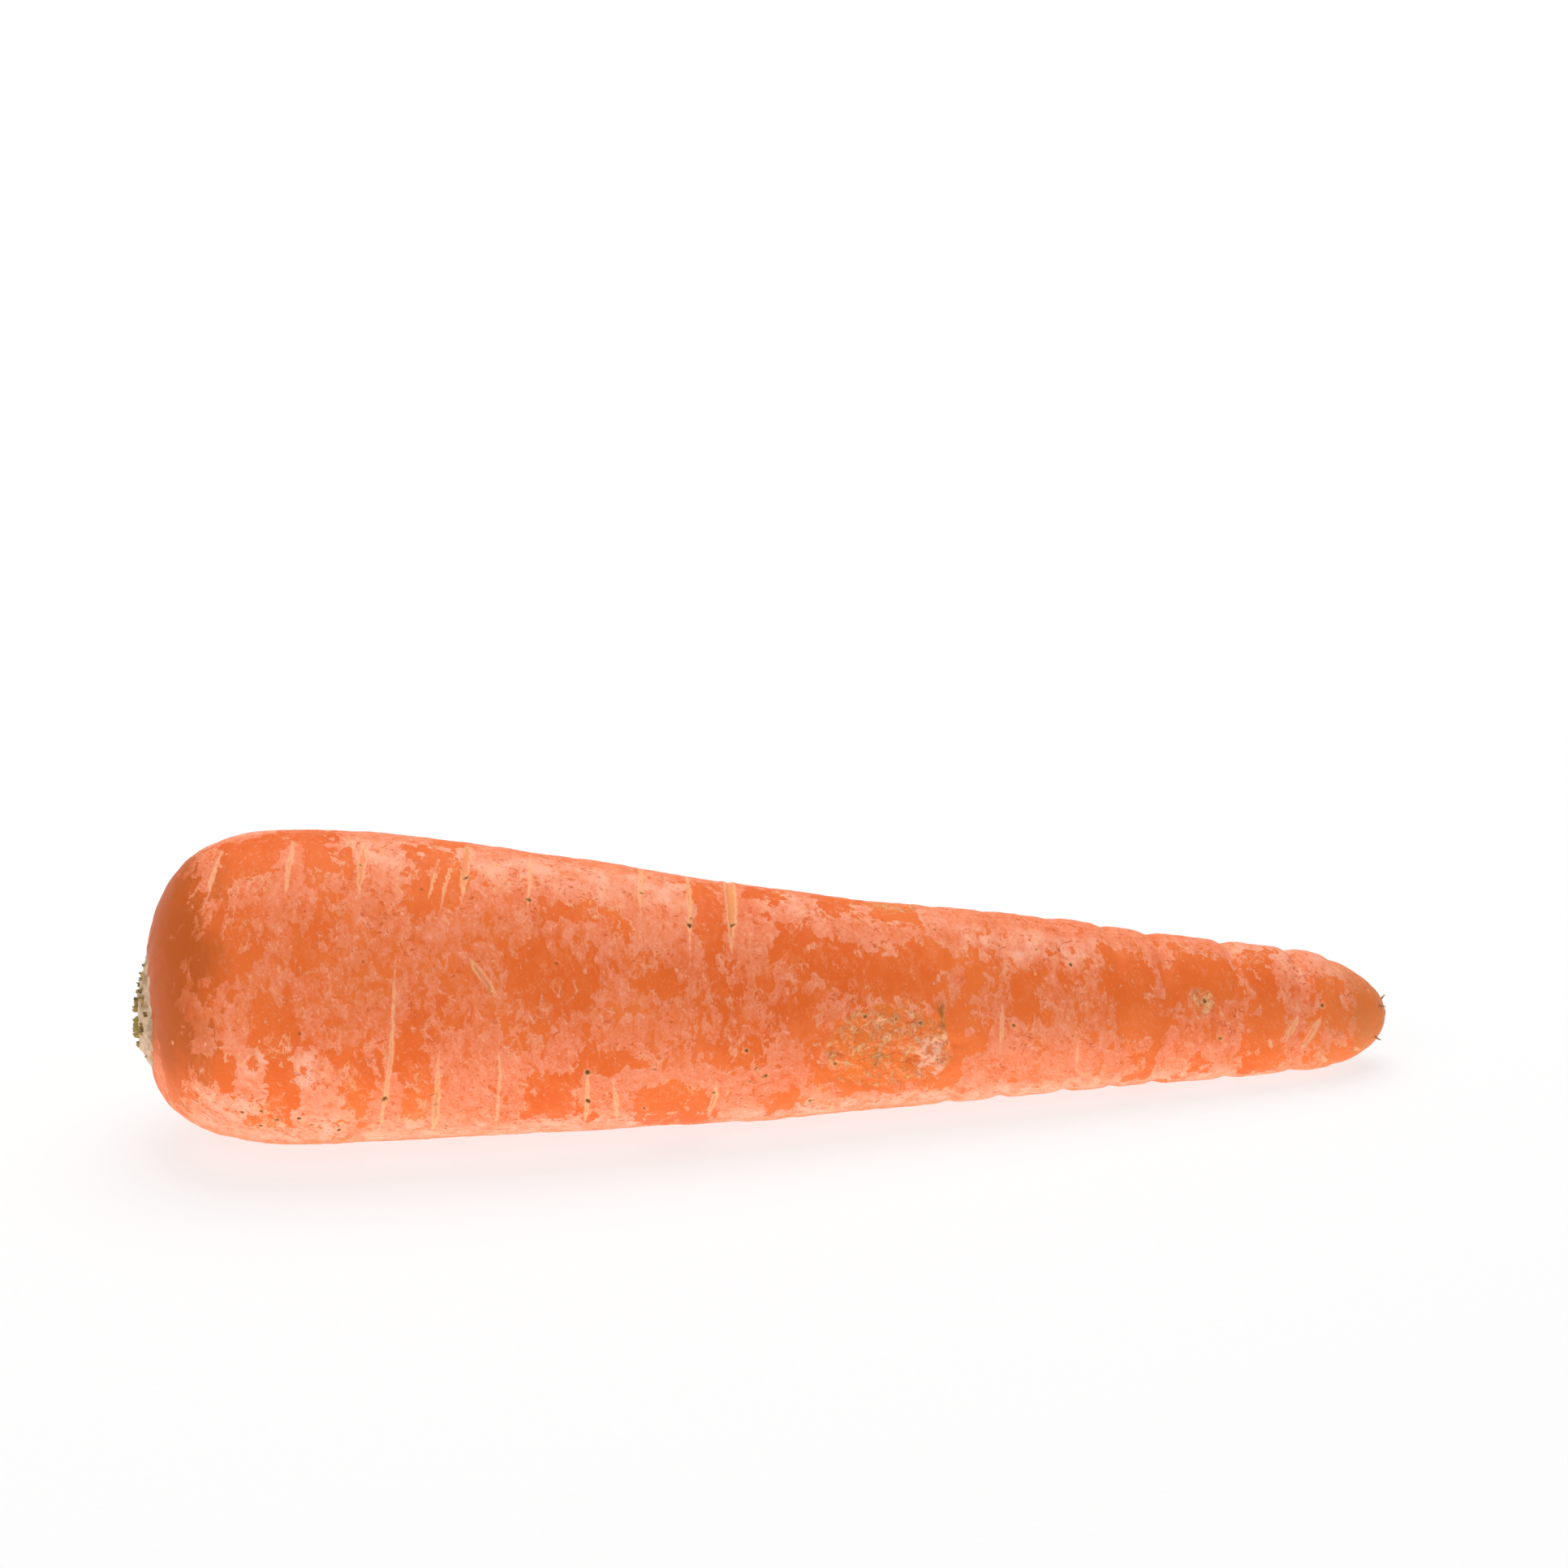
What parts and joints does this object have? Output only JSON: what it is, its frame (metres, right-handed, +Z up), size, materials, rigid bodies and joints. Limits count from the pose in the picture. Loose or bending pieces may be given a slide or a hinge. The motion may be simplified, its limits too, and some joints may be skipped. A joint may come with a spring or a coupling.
{
  "type": "carrot",
  "caption": "Whole fresh carrot lying on its side, blunt conical root tapering from a domed crown with trimmed leaf stalks to a rounded tip.",
  "frame": {"origin": "under the middle of the carrot, on the surface it lies on", "axes": "+X along the root from the crown to the tip, +Z up, +Y to the left of +X"},
  "size_m": [0.2018, 0.049, 0.0478],
  "materials": {
    "root_skin": "matte skin with dry pale patches",
    "dried_stalk": "dry fibrous cut stalks"
  },
  "bodies": {
    "root": {"carrot_root": "root_skin", "outer_leaf_stalk_1": "dried_stalk", "outer_leaf_stalk_2": "dried_stalk", "outer_leaf_stalk_3": "dried_stalk", "outer_leaf_stalk_4": "dried_stalk", "outer_leaf_stalk_5": "dried_stalk", "inner_leaf_stalk_1": "dried_stalk", "inner_leaf_stalk_2": "dried_stalk", "inner_leaf_stalk_3": "dried_stalk", "heart_leaf_stalk": "dried_stalk"}
  },
  "joints": []
}
